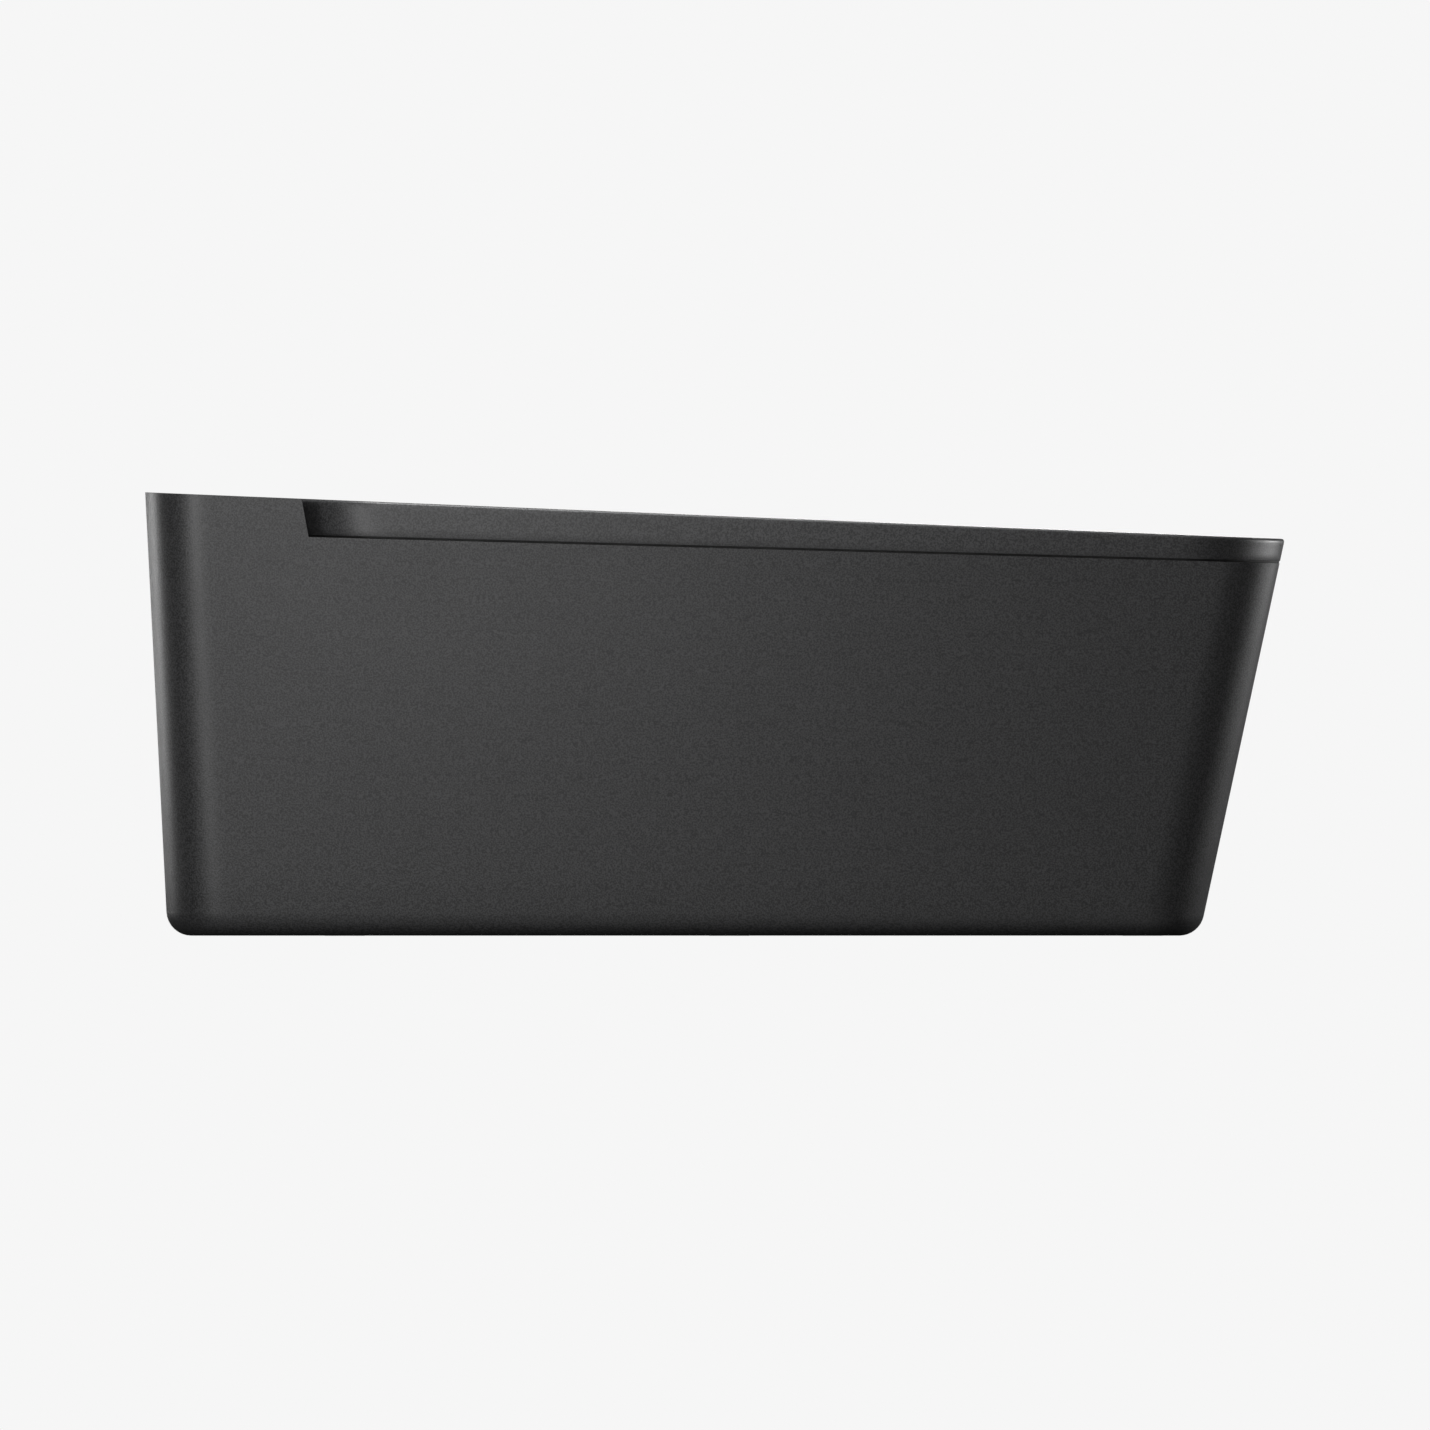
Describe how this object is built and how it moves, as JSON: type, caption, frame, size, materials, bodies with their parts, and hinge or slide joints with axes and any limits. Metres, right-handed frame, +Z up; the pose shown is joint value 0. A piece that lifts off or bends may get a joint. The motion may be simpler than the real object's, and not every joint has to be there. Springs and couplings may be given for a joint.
{
  "type": "freestanding bathtub",
  "caption": "Freestanding double-skin bathtub with a sloping rim, a raised head deck, a rotary pop-up waste and levelling feet.",
  "frame": {"origin": "on the floor, under the middle of the tub's length and width", "axes": "+X along the tub to the low foot end, +Y to the back long side, +Z up"},
  "size_m": [1.6, 0.7494, 0.6227],
  "materials": {
    "shell_acrylic": "matt, very fine grain",
    "basin_acrylic": "matt, very fine grain",
    "seal_rubber": "matt",
    "board_wood": "sawn plywood",
    "cradle_steel": "grey powder coat",
    "hardware_steel": "zinc plated",
    "trim_black": "satin black",
    "pipe_plastic": "moulded, satin",
    "fitting_plastic": "moulded, matt"
  },
  "bodies": {
    "tub": {"outer_shell": "shell_acrylic", "inner_basin": "basin_acrylic", "ledge_seal": "seal_rubber", "support_board": "board_wood", "board_screws": "hardware_steel", "front_rail": "cradle_steel", "back_rail": "cradle_steel", "head_crossbar": "cradle_steel", "middle_crossbar": "cradle_steel", "foot_crossbar": "cradle_steel", "tube_end_caps": "fitting_plastic", "foot_lock_nuts": "hardware_steel", "shell_blocks": "board_wood", "shell_brackets": "cradle_steel", "bracket_screws": "hardware_steel", "waste_flange": "trim_black", "waste_flange_seal": "seal_rubber", "waste_body": "pipe_plastic", "waste_body_seal": "seal_rubber", "trap_nut": "fitting_plastic", "trap_body": "pipe_plastic", "trap_cap": "fitting_plastic", "outlet_nut": "fitting_plastic", "outlet_pipe": "pipe_plastic", "overflow_plate": "trim_black", "overflow_gasket": "seal_rubber", "overflow_body": "pipe_plastic", "overflow_back_nut": "hardware_steel", "overflow_hose": "pipe_plastic", "hose_clips": "hardware_steel", "control_cable": "fitting_plastic"},
    "knob": {"overflow_knob": "trim_black", "overflow_spindle": "hardware_steel"},
    "lift": {"lift_arm": "hardware_steel"},
    "plug": {"plug": "trim_black", "plug_seal": "seal_rubber"},
    "foot_head_front": {"foot_head_front": "hardware_steel"},
    "foot_head_back": {"foot_head_back": "hardware_steel"},
    "foot_middle_front": {"foot_middle_front": "hardware_steel"},
    "foot_middle_back": {"foot_middle_back": "hardware_steel"},
    "foot_foot_front": {"foot_foot_front": "hardware_steel"},
    "foot_foot_back": {"foot_foot_back": "hardware_steel"}
  },
  "joints": [
    {"name": "knob_turn", "type": "hinge", "parent": "tub", "child": "knob", "pos_m": [0.70558, 0, 0.48], "axis": [-0.9135, 0, 0.4067], "range_deg": [0, 90]},
    {"name": "arm_swing", "type": "hinge", "parent": "tub", "child": "lift", "pos_m": [0.382, 0, 0.126], "axis": [0, -1, 0], "range_deg": [0, 29]},
    {"name": "plug_rise", "type": "slide", "parent": "tub", "child": "plug", "axis": [0, 0, 1], "range_m": [0, 0.00902]},
    {"name": "foot_head_front_height", "type": "slide", "parent": "tub", "child": "foot_head_front", "axis": [0, 0, -1], "range_m": [0, 0.012]},
    {"name": "foot_head_back_height", "type": "slide", "parent": "tub", "child": "foot_head_back", "axis": [0, 0, -1], "range_m": [0, 0.012]},
    {"name": "foot_middle_front_height", "type": "slide", "parent": "tub", "child": "foot_middle_front", "axis": [0, 0, -1], "range_m": [0, 0.012]},
    {"name": "foot_middle_back_height", "type": "slide", "parent": "tub", "child": "foot_middle_back", "axis": [0, 0, -1], "range_m": [0, 0.012]},
    {"name": "foot_foot_front_height", "type": "slide", "parent": "tub", "child": "foot_foot_front", "axis": [0, 0, -1], "range_m": [0, 0.012]},
    {"name": "foot_foot_back_height", "type": "slide", "parent": "tub", "child": "foot_foot_back", "axis": [0, 0, -1], "range_m": [0, 0.012]}
  ],
  "couplings": [
    {"joint": "arm_swing", "follows": "knob_turn", "ratio": 0.32172},
    {"joint": "plug_rise", "follows": "knob_turn", "m_per_rad": 0.0057296}
  ]
}
